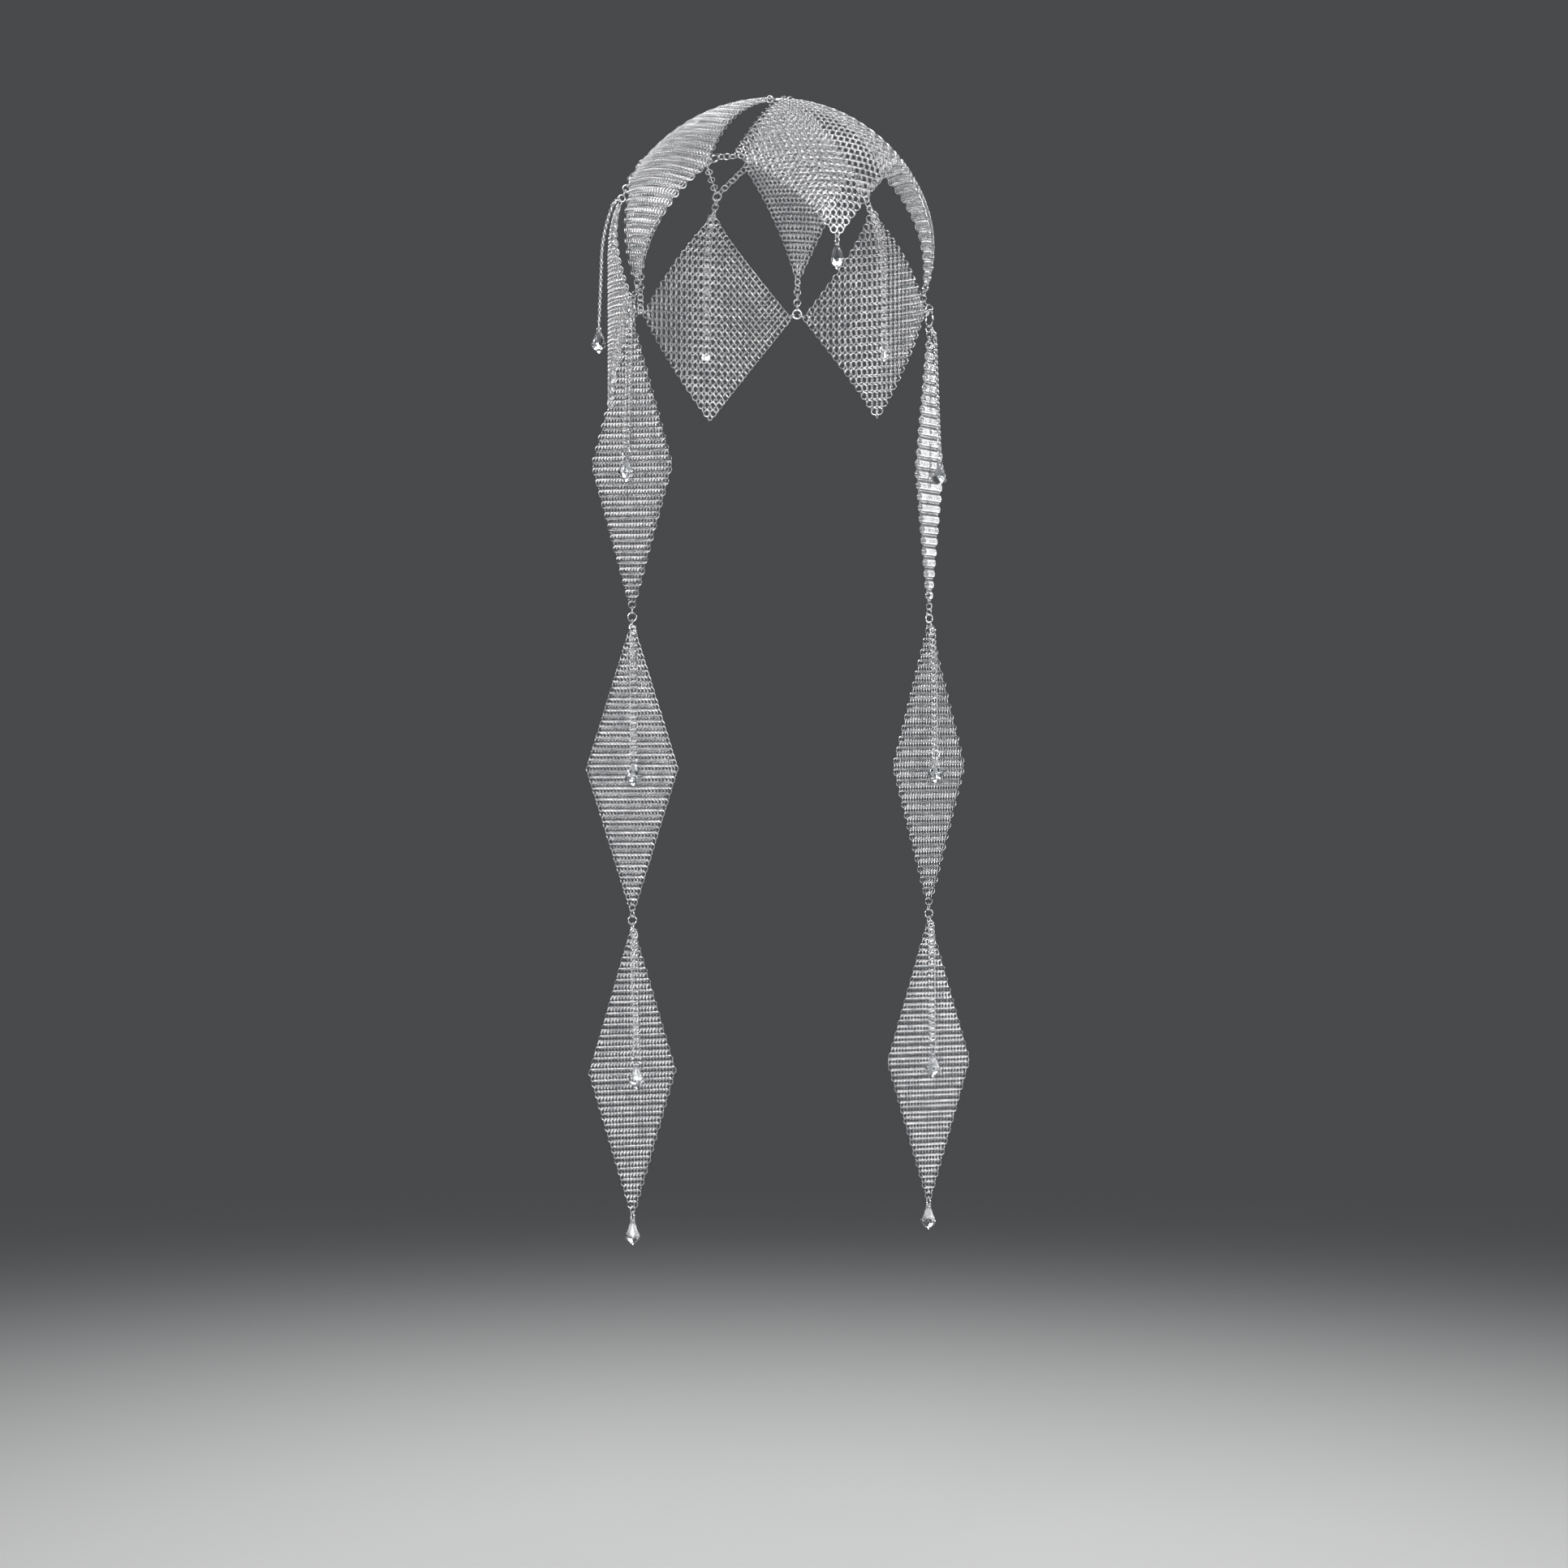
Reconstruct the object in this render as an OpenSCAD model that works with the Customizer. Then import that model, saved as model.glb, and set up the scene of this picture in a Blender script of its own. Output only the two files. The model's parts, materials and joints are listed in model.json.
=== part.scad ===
// Mail veil: diamond panels of linked steel rings that cap the head, with two long strands
// of hanging panels in front of the shoulders, ring chains and clear faceted drops.
// Millimetres. +Z is up, the front is -Y, and the origin is where the crown rests on the head.
// What stands at the wearer's right (-X) is modelled, and its partner is its mirror image.

/* [Mail rings] */
// Rings along each edge of a diamond panel
edge_rings = 26; // [12:1:36]
// Diameter of a mail ring, through the middle of its wire
ring_d = 3.9; // [3.4:0.1:4.6]
// Wire of a mail ring
ring_wire = 0.5; // [0.4:0.05:0.6]
// How far the rings of a row turn out of their sheet, in degrees
ring_lean = 31; // [26:1:36]
// Running gap between the wires of two linked rings
link_gap = 0.1; // [0.05:0.05:0.2]
// Rows of rings modelled one by one at each corner of a panel
corner_rows = 3; // [2:1:5]

/* [Mail sheets] */
// Thickness of a sheet between its corners
sheet_t = 1.6; // [0.8:0.1:2.4]
// How far a curved sheet reaches into the corner rings that it carries
sheet_bite = 0.7; // [0.5:0.05:0.75]
// How far the rows of a hanging sheet stand proud of it
row_relief = 0.35; // [0:0.05:0.6]
// Row to row in a hanging panel
hang_row = 3.07; // [2.9:0.01:3.1]
// Ring to ring along a row of a hanging panel
hang_pitch = 1.9; // [1.8:0.05:2.6]
// Ring to ring along a row of the front panel
front_pitch = 3.82; // [3:0.02:4]
// Ring to ring along a row of the side panels
side_pitch = 2.65; // [2.2:0.05:3.2]
// Ring to ring along a row of the rear panels
rear_pitch = 2.45; // [2.2:0.05:3.2]
// Ring to ring along a row of the low panels
low_pitch = 3.8; // [3:0.05:4]
// Row to row in the low panels
low_row = 2.3; // [2.25:0.01:2.6]

/* [Head that it fits] */
// Width of the head over the hair
head_w = 180; // [160:1:210]
// Length of the head over the hair
head_l = 192; // [170:1:220]
// Height from the widest part of the head to the top
head_rise = 86.7; // [76:0.1:100]
// How far behind the crown ring the widest part lies
crown_forward = 12; // [0:1:30]

/* [Layout round the head] */
// Angle of the side panels from the front
side_at = 79.5; // [70:0.5:90]
// Angle of the rear panels from the front
rear_at = 147; // [140:1:155]
// Angle of the rear junctions and the low panels from the front
low_at = 114.6; // [112:0.1:117]
// Height of the front panel's last ring below the crown
front_drop = 81; // [60:1:90]
// Height of the side panels' last ring below the crown
side_drop = 104; // [90:1:110]
// Height of the rear panels' last ring below the crown
rear_drop = 88; // [80:1:100]
// Angle of the front junction rings from the front
junction_at = 46.65; // [42:0.05:52]
// Height of the front junction rings below the crown
front_junction_drop = 38.6; // [34:0.1:44]
// Height of the rear junction rings below the crown
junction_drop = 43.2; // [38:0.1:48]
// Height of the back junction ring below the crown
back_drop = 43.2; // [38:0.1:48]
// Height of the nape rings above the side corners of the low panels
nape_rise = 2.6; // [2:0.1:4]
// Height of the low panels' first ring below the crown
low_drop = 55; // [50:1:60]

/* [Larger rings] */
// Diameter of the crown ring, through the middle of its wire
crown_d = 10.4; // [9:0.1:14]
// Wire of the crown ring
crown_wire = 1.0; // [0.8:0.1:1.4]
// Diameter of a temple ring, through the middle of its wire
temple_d = 9.4; // [8:0.1:12]
// Wire of a temple ring
temple_wire = 1.0; // [0.8:0.1:1.4]
// Diameter of a junction ring, through the middle of its wire
junction_d = 5.1; // [4.6:0.1:7]
// Wire of a junction ring
junction_wire = 0.9; // [0.6:0.1:1]
// Diameter of the middle ring of a swivel, through the middle of its wire
swivel_d = 4.7; // [4.2:0.1:6]
// Wire of the middle ring of a swivel
swivel_wire = 0.7; // [0.5:0.1:0.9]
// Diameter of the jump ring on a drop, through the middle of its wire
jump_d = 4.9; // [4.6:0.1:6]
// Wire of the jump ring on a drop
jump_wire = 0.8; // [0.6:0.1:0.9]

/* [Strands and chains] */
// How far outside the side panels' last rings the temple rings hang
temple_out = 3.2; // [0:0.5:4]
// How far the first, second and third panel of a strand turn outwards, in degrees
strand_turn = [50, 14, 0]; // [0:1:60]
// Links in a chain over a panel, an even number
chain_links = 22; // [16:2:24]
// How far the chain stands in front of the middle of its sheet where it starts
chain_off = 3.4; // [3.3:0.1:5]
// How far a drop's middle stands in front of the middle of its sheet
drop_off = 6.2; // [6.1:0.1:8]

/* [Drops] */
// Length of a drop
drop_l = 15; // [10:0.5:25]
// Width of a drop at its belly, across corners
drop_w = 9; // [6:0.5:10]
// Width of a drop's neck, across corners
neck_w = 2.8; // [2.8:0.1:4]
// Bore through the neck
drop_bore = 1.5; // [1.4:0.05:1.6]
// Facets round a drop
drop_sides = 8; // [6:2:12]

/* [Hidden] */
ring_r = ring_d / 2;
mail_half = ring_r * sin(ring_lean) + ring_wire / 2;
rows = 2 * edge_rings - 1;
mid_row = edge_rings - 1;
link_step = ring_d - ring_wire - link_gap;
head_axes = [head_w / 2, head_l / 2, head_rise];
head_mid = [0, crown_forward,
            mail_half - head_rise * sqrt(1 - pow(2 * crown_forward / head_l, 2))];
hang_length = (rows - 1) * hang_row;
temple_step = step_of(temple_d, temple_wire, ring_d, ring_wire);
swivel_step = step_of(swivel_d, swivel_wire, ring_d, ring_wire);
jump_step = step_of(jump_d, jump_wire, ring_d, ring_wire);
junction_step = step_of(junction_d, junction_wire, ring_d, ring_wire);
swivel_length = 2 * link_step + 2 * swivel_step;
bore_drop = drop_bore * 0.9;
// The run to a temple ring, in link steps: three links, the middle one a little slack
temple_run = 2.72;
// Where a chain's first link lies on its way from the hanger to the second
first_link_share = 0.38;
// How far a chain's second link lies below the panel's first ring
chain_lead = 0.75;
// How far a notch goes into the edge of a hanging sheet
notch = 0.5;
steel = [0.78, 0.79, 0.8];
clear_glass = [0.86, 0.9, 0.93, 0.5];

// Distance between the middles of two linked rings, each given by its diameter and wire
function step_of(d1, w1, d2, w2) = (d1 + d2 - w1 - w2) / 2 - link_gap;
function unit(v) = v / norm(v);
function across(v, t) = unit(v - (v * t) * t);

// A frame is [middle, along the row, out of the sheet, up the sheet]
function frame_of(p, out, up) =
    let (z = across(up, out))
    [p, cross(z, out), out, z];

// The head: points and outward normals from a direction d in a unit ball
function on_head(d) = head_mid + [for (k = [0:2]) head_axes[k] * d[k]];
function out_of(d) = unit([for (k = [0:2]) d[k] / head_axes[k]]);

// Direction at an angle from the front, at a height z
function dir_at(angle, z) =
    let (h = (z - head_mid.z) / head_rise, k = sqrt(1 - h * h))
    [-k * sin(angle), -k * cos(angle), h];

// The crown ring lies on the head at the origin
crown = let (d = dir_over(0, 0)) frame_of(on_head(d), out_of(d), [0, 0, 1] - [0, 1, 0]);
function dir_over(x, y) =
    let (u = x / head_axes.x, v = (y - crown_forward) / head_axes.y)
    [u, v, sqrt(1 - u * u - v * v)];

// Direction of the first ring of a crown panel, one link away from the crown ring
crown_step = step_of(crown_d, crown_wire, ring_d, ring_wire);
function dir_crown(angle) =
    let (reach = crown_step + link_step,
         way = [-sin(angle), -cos(angle)],
         flat = reach * reach / norm(on_head(dir_over(reach * way.x, reach * way.y)) - crown[0]))
    dir_over(flat * way.x, flat * way.y);

// A crown panel's middle column runs down a great circle, and its middle row along another.
// r is the row and c the place along it, both in rings. hand is -1 in a mirrored place.
function crown_panel(angle, drop, pitch, hand = 1) =
    let (top = dir_crown(angle),
         foot = dir_at(angle, -drop),
         mid = unit(top + foot),
         up = across(top, mid),
         side = unit(cross(top, foot)))
    ["crown", hand, mid, up, side, acos(top * foot), pitch];
function crown_dir(p, r, c) =
    let (b = p[5] * (0.5 - r / (rows - 1)),
         w = c * p[6] / norm([for (k = [0:2]) head_axes[k] * p[4][k]]) * 180 / PI / pow(cos(b), 0.6))
    (p[2] * cos(w) + p[4] * sin(w)) * cos(b) + p[3] * sin(b);

// A low panel hangs down the side or the back of the head, below its widest part straight down
function low_panel(angle, hand = 1) = ["low", hand, angle, -low_drop, low_pitch];
function low_dir(p, r, c) =
    let (z = p[3] - r * low_row,
         h = max(0, (z - head_mid.z) / head_rise),
         k = sqrt(1 - h * h),
         w = c * p[4] / ((head_w + head_l) / 4) * 180 / PI,
         a = p[2] - w)
    [-k * sin(a), -k * cos(a), h];

// A hanging panel is flat: [kind, hand, first ring, how far it turns outwards]
function hanging_panel(p, turn) = ["flat", 1, p, turn];

function ring_at(p, r, c) =
    p[0] == "flat" ? p[2] + [c * hang_pitch * cos(p[3]), -c * hang_pitch * sin(p[3]), -r * hang_row]
    : p[0] == "low" ? let (q = on_head(low_dir(p, r, c))) [q.x, q.y, p[3] - r * low_row]
    : on_head(crown_dir(p, r, c));
function out_at(p, r, c) =
    p[0] == "flat" ? [-sin(p[3]), -cos(p[3]), 0]
    : out_of(p[0] == "low" ? low_dir(p, r, c) : crown_dir(p, r, c));
function sheet_frame(p, r, c) =
    frame_of(ring_at(p, r, c), out_at(p, r, c), ring_at(p, r - 0.5, c) - ring_at(p, r + 0.5, c));

// The first and the last ring of a panel
function top_of(p) = ring_at(p, 0, 0);
function foot_of(p) = ring_at(p, rows - 1, 0);

front_p = crown_panel(0, front_drop, front_pitch);
side_p = crown_panel(side_at, side_drop, side_pitch);
rear_p = crown_panel(rear_at, rear_drop, rear_pitch);
low_p = low_panel(low_at);
back_p = low_panel(180);

// A temple ring hangs from a side panel's last ring by three links
temple = foot_of(side_p) - [temple_out, 0,
                            sqrt(pow(temple_run * link_step + temple_step, 2) - pow(temple_out, 2))];

// The three panels of a strand hang in line below the temple ring
function strand_top(n) =
    temple - [0, 0, temple_step + link_step + (n - 1) * (hang_length + swivel_length)];
function strand_p(n) = hanging_panel(strand_top(n), strand_turn[n - 1]);

// Junction rings: a place at an angle and height on the head
function head_frame(angle, z) =
    let (d = dir_at(angle, z))
    frame_of(on_head(d), out_of(d), [0, 0, 1]);
front_junction = head_frame(junction_at, -front_junction_drop);
rear_junction = head_frame(low_at, -junction_drop);
back_junction = head_frame(180, -back_drop);
nape_at = (low_at + 180) / 2;
nape_z = -low_drop - mid_row * low_row + nape_rise;
nape = let (d = low_dir(["low", 1, nape_at, nape_z, 1], 0, 0), q = on_head(d))
    frame_of([q.x, q.y, nape_z], out_of(d), [0, 0, 1]);

module right() children();
module left() mirror([1, 0, 0]) children();

// Puts its children in a frame: X along the row, Y into the head, Z up
module seat(f)
    multmatrix([[f[1].x, -f[2].x, f[3].x, f[0].x],
                [f[1].y, -f[2].y, f[3].y, f[0].y],
                [f[1].z, -f[2].z, f[3].z, f[0].z],
                [0, 0, 0, 1]])
        children();

// A ring that lies in its frame's X-Z plane
module ring(d, wire)
    rotate([90, 0, 0])
        rotate_extrude($fn = 36)
            translate([d / 2, 0])
                circle(d = wire, $fn = 18);

// Rows lean to either side in turn
function lean_of(p, r) = p[1] * (r % 2 == 0 ? ring_lean : -ring_lean);
module mail_ring(p, r, c)
    seat(sheet_frame(p, r, c))
        rotate([0, 0, lean_of(p, r)])
            ring(ring_d, ring_wire);

// The axis of a mail ring: out of the sheet, turned by its lean
function axis_of(p, r, c) =
    let (f = sheet_frame(p, r, c))
    f[2] * cos(lean_of(p, r)) + f[1] * sin(lean_of(p, r));

// A run of small rings links two rings, each given as [middle, axis, [diameter, wire]].
// The first and last small ring stand square to the ring they hook, in that ring's own plane.
// Those between them turn on by the same angle each, as near a right angle as it comes.
mail = [ring_d, ring_wire];
junction = [junction_d, junction_wire];
temple_size = [temple_d, temple_wire];
swivel = [swivel_d, swivel_wire];
crown_size = [crown_d, crown_wire];
function step_to(size) = step_of(size[0], size[1], ring_d, ring_wire);
function count_of(reach, ends) = max(1, ceil((reach - ends) / link_step - 0.02) + 1);
function turned(v, way, angle) = v * cos(angle) + cross(way, v) * sin(angle);

module run(a, b, extra = 0) {
    n = count_of(norm(b[0] - a[0]), step_to(a[2]) + step_to(b[2])) + extra;
    away = across(b[0] - a[0], a[1]);
    back = across(a[0] - b[0], b[1]);
    first = a[0] + away * step_to(a[2]);
    last = b[0] + back * step_to(b[2]);
    axis_1 = cross(away, a[1]);
    if (n == 1) {
        way = unit(b[0] - a[0]);
        axis_2 = cross(back, b[1]);
        both = axis_1 + axis_2 * (axis_1 * axis_2 < 0 ? -1 : 1);
        seat(frame_of((first + last) / 2, across(both, way), -way))
            ring(ring_d, ring_wire);
    }
    else {
        way = unit(last - first);
        from = across(axis_1, way);
        to = across(cross(back, b[1]), way);
        bare = atan2(cross(from, to) * way, from * to);
        whole = bare + 180 * round((90 * (n - 1) - bare) / 180);
        each_turn = whole / (n - 1);
        share = n == 2 ? (whole - 90) / 2 : 0;
        seat(frame_of(first, turned(axis_1, away, share), -away))
            ring(ring_d, ring_wire);
        seat(frame_of(last, turned(cross(back, b[1]), back, share), back))
            ring(ring_d, ring_wire);
        for (k = [1:1:n - 2])
            seat(frame_of(first + (last - first) * k / (n - 1), turned(from, way, k * each_turn), -way))
                ring(ring_d, ring_wire);
    }
}
function corner_end(p, r, c) = [ring_at(p, r, c), axis_of(p, r, c), mail];
function top_end(p) = corner_end(p, 0, 0);
function foot_end(p) = corner_end(p, rows - 1, 0);
function side_end(p, side) = corner_end(p, mid_row, side * mid_row / 2);
function hanger_end(p) = let (h = hanger_of(p)) [h[0], h[1], mail];
function flat_end(f, size) = [f[0], f[2], size];
module hanger(p) {
    h = hanger_of(p);
    seat([h[0], h[2], -h[1], h[3]])
        ring(ring_d, ring_wire);
}

// Row k of the rings at a corner, counted from the corner's last ring
module corner_row(p, at, k)
    for (j = [0:k]) {
        c = j - k / 2;
        if (at == "top") mail_ring(p, k, c);
        if (at == "foot") mail_ring(p, rows - 1 - k, c);
        if (at == "front") mail_ring(p, mid_row + 2 * c, (mid_row - k) / 2);
        if (at == "back") mail_ring(p, mid_row + 2 * c, -(mid_row - k) / 2);
    }

// The rings that hang free between a sheet and its corner, and the row that the sheet carries
module free_corner(p, at)
    for (k = [0:corner_rows - 2])
        corner_row(p, at, k);
module carried_row(p, at) corner_row(p, at, corner_rows - 1);

// Half the width of a curved sheet at row r, in rings from its middle. At the side corners it
// reaches into the last rings that it carries and stays clear of the free ones.
function half_width(p, r) =
    let (end = (mid_row - corner_rows + 1) / 2,
         spacing = norm(ring_at(p, r, end) - ring_at(p, r, end - 1)),
         ring_half = ring_r * cos(ring_lean) + ring_wire / 2)
    min(min(r, rows - 1 - r) / 2 + 0.35, end - (ring_half - sheet_bite) / spacing);

// A curved sheet as one closed skin, from the rows next to one corner to those next to the other
module curved_sheet(p) {
    down = 16;
    over = 6;
    r0 = corner_rows - 0.6;
    r1 = rows - 1 - r0;
    pts = [for (face = [1, -1]) for (i = [0:down]) for (j = [0:over])
        let (r = r0 + (r1 - r0) * i / down, c = half_width(p, r) * (2 * j / over - 1))
        ring_at(p, r, c) + out_at(p, r, c) * face * sheet_t / 2];
    w = over + 1;
    n = w * (down + 1);
    skin = [for (i = [0:down - 1]) for (j = [0:over - 1])
        let (a = i * w + j)
        each [[a, a + w, a + 1], [a + 1, a + w, a + w + 1],
              [n + a, n + a + 1, n + a + w], [n + a + 1, n + a + w + 1, n + a + w]]];
    sides = [for (i = [0:down - 1])
        let (a = i * w, b = i * w + over)
        each [[a, n + a, a + w], [a + w, n + a, n + a + w],
              [b, b + w, n + b], [b + w, n + b + w, n + b]]];
    ends = [for (j = [0:over - 1])
        let (a = j, b = down * w + j)
        each [[a, a + 1, n + a], [a + 1, n + a + 1, n + a],
              [b, n + b, b + 1], [b + 1, n + b, n + b + 1]]];
    polyhedron(points = pts, faces = concat(skin, sides, ends), convexity = 6);
}

module mail_panel(p)
    color(steel) {
        curved_sheet(p);
        for (at = ["top", "foot", "front", "back"])
            carried_row(p, at);
    }

// The outline of a hanging sheet, notched between one row's last ring and the next
module notched_outline() {
    edge = ring_r * cos(ring_lean) + ring_wire / 2;
    first = corner_rows;
    last = rows - 1 - corner_rows;
    half = [for (r = [first:last])
        each [[min(r, rows - 1 - r) / 2 * hang_pitch + edge, -r * hang_row],
              [(min(r, rows - 1 - r) + (r < mid_row ? 0.5 : -0.5)) / 2 * hang_pitch + edge - notch,
               -(r + 0.5) * hang_row]]];
    top = [half[0].x - 0.7, -(first - 0.55) * hang_row];
    right_side = concat([top], half);
    n = len(right_side) - 1;
    polygon(concat(right_side, [for (k = [n:-1:0]) [-right_side[k].x, right_side[k].y]]));
}

// A hanging sheet's section: each row stands proud of the gap to the next
module row_section() {
    first = corner_rows - 1;
    last = rows - corner_rows;
    ridge = sheet_t / 2 + row_relief;
    groove = sheet_t / 2;
    near = [for (r = [first:last]) each [[-ridge, -r * hang_row], [-groove, -(r + 0.5) * hang_row]]];
    n = len(near) - 1;
    polygon(concat(near, [for (k = [n:-1:0]) [-near[k].x, near[k].y]]));
}

module hanging_sheet() {
    wide = edge_rings * hang_pitch + 2 * ring_d;
    intersection() {
        rotate([90, 0, 0])
            linear_extrude(4 * sheet_t, center = true)
                notched_outline();
        translate([-wide / 2, 0, 0])
            rotate([90, 0, 90])
                linear_extrude(wide)
                    row_section();
    }
}

module strand_mail(n)
    color(steel) {
        seat(sheet_frame(strand_p(n), 0, 0))
            hanging_sheet();
        for (at = ["top", "foot"]) {
            carried_row(strand_p(n), at);
            free_corner(strand_p(n), at);
        }
    }

// The ring that a panel with a chain hangs from stands across the sheet, one step above it
function hanger_of(p) =
    let (f = sheet_frame(p, 0, 0))
    [f[0] + f[3] * link_step, f[1], f[2], f[3]];

// A chain leaves its hanger in front of the panel's first ring and follows the sheet down.
// stand is how far it stays in front of the sheet, growing to make room for the drop.
hook_angle = 50;
function stand(k) = chain_off + (drop_off - chain_off) * max(0, k - 1) / (chain_links - 1);
function chain_start(p) =
    let (h = hanger_of(p))
    h[0] + (h[2] * sin(hook_angle) - h[3] * cos(hook_angle)) * ring_r;
function path_at(p, r, k) = ring_at(p, r, 0) + out_at(p, r, 0) * stand(k);
function link_row(p, k) =
    k <= 1 ? chain_lead / norm(path_at(p, 1, 1) - path_at(p, 0, 1))
    : let (r = link_row(p, k - 1), q = path_at(p, r, k - 1),
           s = r + link_step / norm(path_at(p, r + 1, k) - q))
      s + (s - r) * (link_step * 0.998 / norm(path_at(p, s, k) - q) - 1);
function link_at(p, k) =
    k > 0 ? path_at(p, link_row(p, k), k)
    : let (a = chain_start(p), b = path_at(p, link_row(p, 1), 1)) a + (b - a) * first_link_share;
function jump_at(p) =
    let (a = link_at(p, chain_links - 1), b = link_at(p, chain_links - 2))
    a + unit(a - b) * jump_step;
// The drop hangs plumb from the foot of its jump ring
function hook_low(p) = jump_at(p) - [0, 0, jump_d / 2];

module chain(p)
    color(steel) {
        for (k = [0:chain_links - 1]) {
            before = k == 0 ? chain_start(p) : link_at(p, k - 1);
            after = k == chain_links - 1 ? jump_at(p) : link_at(p, k + 1);
            out = out_at(p, max(0, link_row(p, k)), 0);
            seat(frame_of(link_at(p, k), across(out, unit(before - after)), before - after))
                rotate([0, 0, k % 2 == 0 ? 0 : 90])
                    ring(ring_d, ring_wire);
        }
        out = out_at(p, link_row(p, chain_links), 0);
        seat(frame_of(jump_at(p), unit([out.x, out.y, 0]), [0, 0, 1]))
            ring(jump_d, jump_wire);
    }

// A drop in its own frame: the bore runs along X through the origin, and the point hangs down
module glass_drop() {
    neck = neck_w / 2;
    belly = drop_w / 2;
    top = bore_drop;
    turn = 180 / drop_sides;
    zs = [top, top - neck_w, top - drop_l * 0.66, top - drop_l * 0.79];
    rs = [neck * 0.9, neck, belly, belly * 0.8];
    pts = concat([for (k = [0:3]) for (s = [0:drop_sides - 1])
                     let (a = (2 * s + (k == 2 ? 1 : 0)) * turn)
                     [rs[k] * cos(a + turn), rs[k] * sin(a + turn), zs[k]]],
                 [[0, 0, top - drop_l]]);
    m = drop_sides;
    band = [for (k = [0:2]) for (s = [0:m - 1])
        let (t = (s + 1) % m, a = k * m + s, b = k * m + t, c = a + m, d = b + m)
        each (k == 1 ? [[a, b, c], [b, d, c]]
             : k == 2 ? [[a, d, c], [a, b, d]]
             : [[a, b, c], [b, d, c]])];
    point = [for (s = [0:m - 1]) [3 * m + s, 3 * m + (s + 1) % m, 4 * m]];
    lid = [for (s = [1:m - 2]) [0, s + 1, s]];
    difference() {
        polyhedron(points = pts, faces = concat(lid, band, point), convexity = 4);
        rotate([0, 90, 0])
            cylinder(d = drop_bore, h = 2 * neck_w, center = true, $fn = 48);
    }
}

// The bore sits so that the ring's curve through the neck stays clear above and below
bore_rise = (jump_d / 2 - sqrt(pow(jump_d / 2, 2) - pow(neck_w / 2, 2))) / 2;
module drop_on(foot, along)
    color(clear_glass)
        seat([foot + [0, 0, bore_rise], along, cross(along, [0, 0, 1]), [0, 0, 1]])
            glass_drop();

function flat_out(p, r) = let (o = out_at(p, r, 0)) unit([o.x, o.y, 0]);
function row_way(p, r) = let (o = flat_out(p, r)) cross([0, 0, 1], o);

module chain_drop(p)
    drop_on(hook_low(p), row_way(p, link_row(p, chain_links)));

// A jump ring below a panel's last ring, standing across the sheet
function jump_below(p) = foot_of(p) - [0, 0, jump_step];
module jump_ring(p)
    color(steel)
        seat(frame_of(jump_below(p), row_way(p, rows - 1), [0, 0, 1]))
            ring(jump_d, jump_wire);
module jump_drop(p)
    drop_on(jump_below(p) - [0, 0, jump_d / 2], flat_out(p, rows - 1));

// Crown: one flat ring, with a small link to the first ring of each crown panel
module crown_ring()
    color(steel)
        seat(crown)
            ring(crown_d, crown_wire);
module crown_link(p) {
    run(flat_end(crown, crown_size), top_end(p));
    free_corner(p, "top");
}
module crown_links()
    color(steel) {
        crown_link(front_p);
        for (m = [0, 1])
            mirror([m, 0, 0]) {
                crown_link(side_p);
                crown_link(rear_p);
            }
    }
module front_links()
    color(steel)
        free_corner(front_p, "foot");

// Where panels meet, a larger ring lies flat on the head between runs of small ones
module junction_front(hand)
    color(steel) {
        front_p = crown_panel(0, front_drop, front_pitch, hand);
        j = flat_end(front_junction, junction);
        seat(front_junction)
            ring(junction_d, junction_wire);
        free_corner(side_p, "front");
        free_corner(front_p, "back");
        run(side_end(side_p, 1), j);
        run(side_end(front_p, -1), j);
    }

module junction_rear()
    color(steel) {
        j = flat_end(rear_junction, junction);
        seat(rear_junction)
            ring(junction_d, junction_wire);
        free_corner(side_p, "back");
        free_corner(rear_p, "front");
        free_corner(low_p, "top");
        run(side_end(side_p, -1), j);
        run(side_end(rear_p, 1), j);
        run(hanger_end(low_p), j);
        hanger(low_p);
    }

module junction_back()
    color(steel) {
        j = flat_end(back_junction, junction);
        seat(back_junction)
            ring(junction_d, junction_wire);
        for (m = [0, 1])
            mirror([m, 0, 0]) {
                free_corner(rear_p, "back");
                run(side_end(rear_p, -1), j);
            }
        free_corner(back_p, "top");
        free_corner(back_p, "foot");
        run(hanger_end(back_p), j);
        hanger(back_p);
    }

// Where a rear panel's foot meets the corners of two low panels
module nape_ring(hand)
    color(steel) {
        back_p = low_panel(180, hand);
        j = flat_end(nape, junction);
        seat(nape)
            ring(junction_d, junction_wire);
        free_corner(rear_p, "foot");
        free_corner(low_p, "back");
        free_corner(back_p, "front");
        run(foot_end(rear_p), j);
        run(side_end(low_p, -1), j);
        run(side_end(back_p, 1), j);
    }

temple_end = [temple, [1, 0, 0], temple_size];
module temple_ring()
    color(steel)
        translate(temple)
            rotate([0, 0, 90])
                ring(temple_d, temple_wire);
module temple_links()
    color(steel) {
        free_corner(side_p, "foot");
        free_corner(low_p, "front");
        free_corner(low_p, "foot");
        run(foot_end(side_p), temple_end);
        run(side_end(low_p, 1), temple_end);
    }

module strand_swivel(n)
    color(steel)
        if (n == 1)
            hanger(strand_p(1));
        else {
            upper = strand_p(n - 1);
            lower = strand_p(n);
            mid = [(foot_of(upper) + top_of(lower)) / 2, out_at(lower, 0, 0), swivel];
            run(foot_end(upper), mid);
            seat(frame_of(mid[0], mid[1], [0, 0, 1]))
                ring(swivel_d, swivel_wire);
            hanger(lower);
        }

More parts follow.
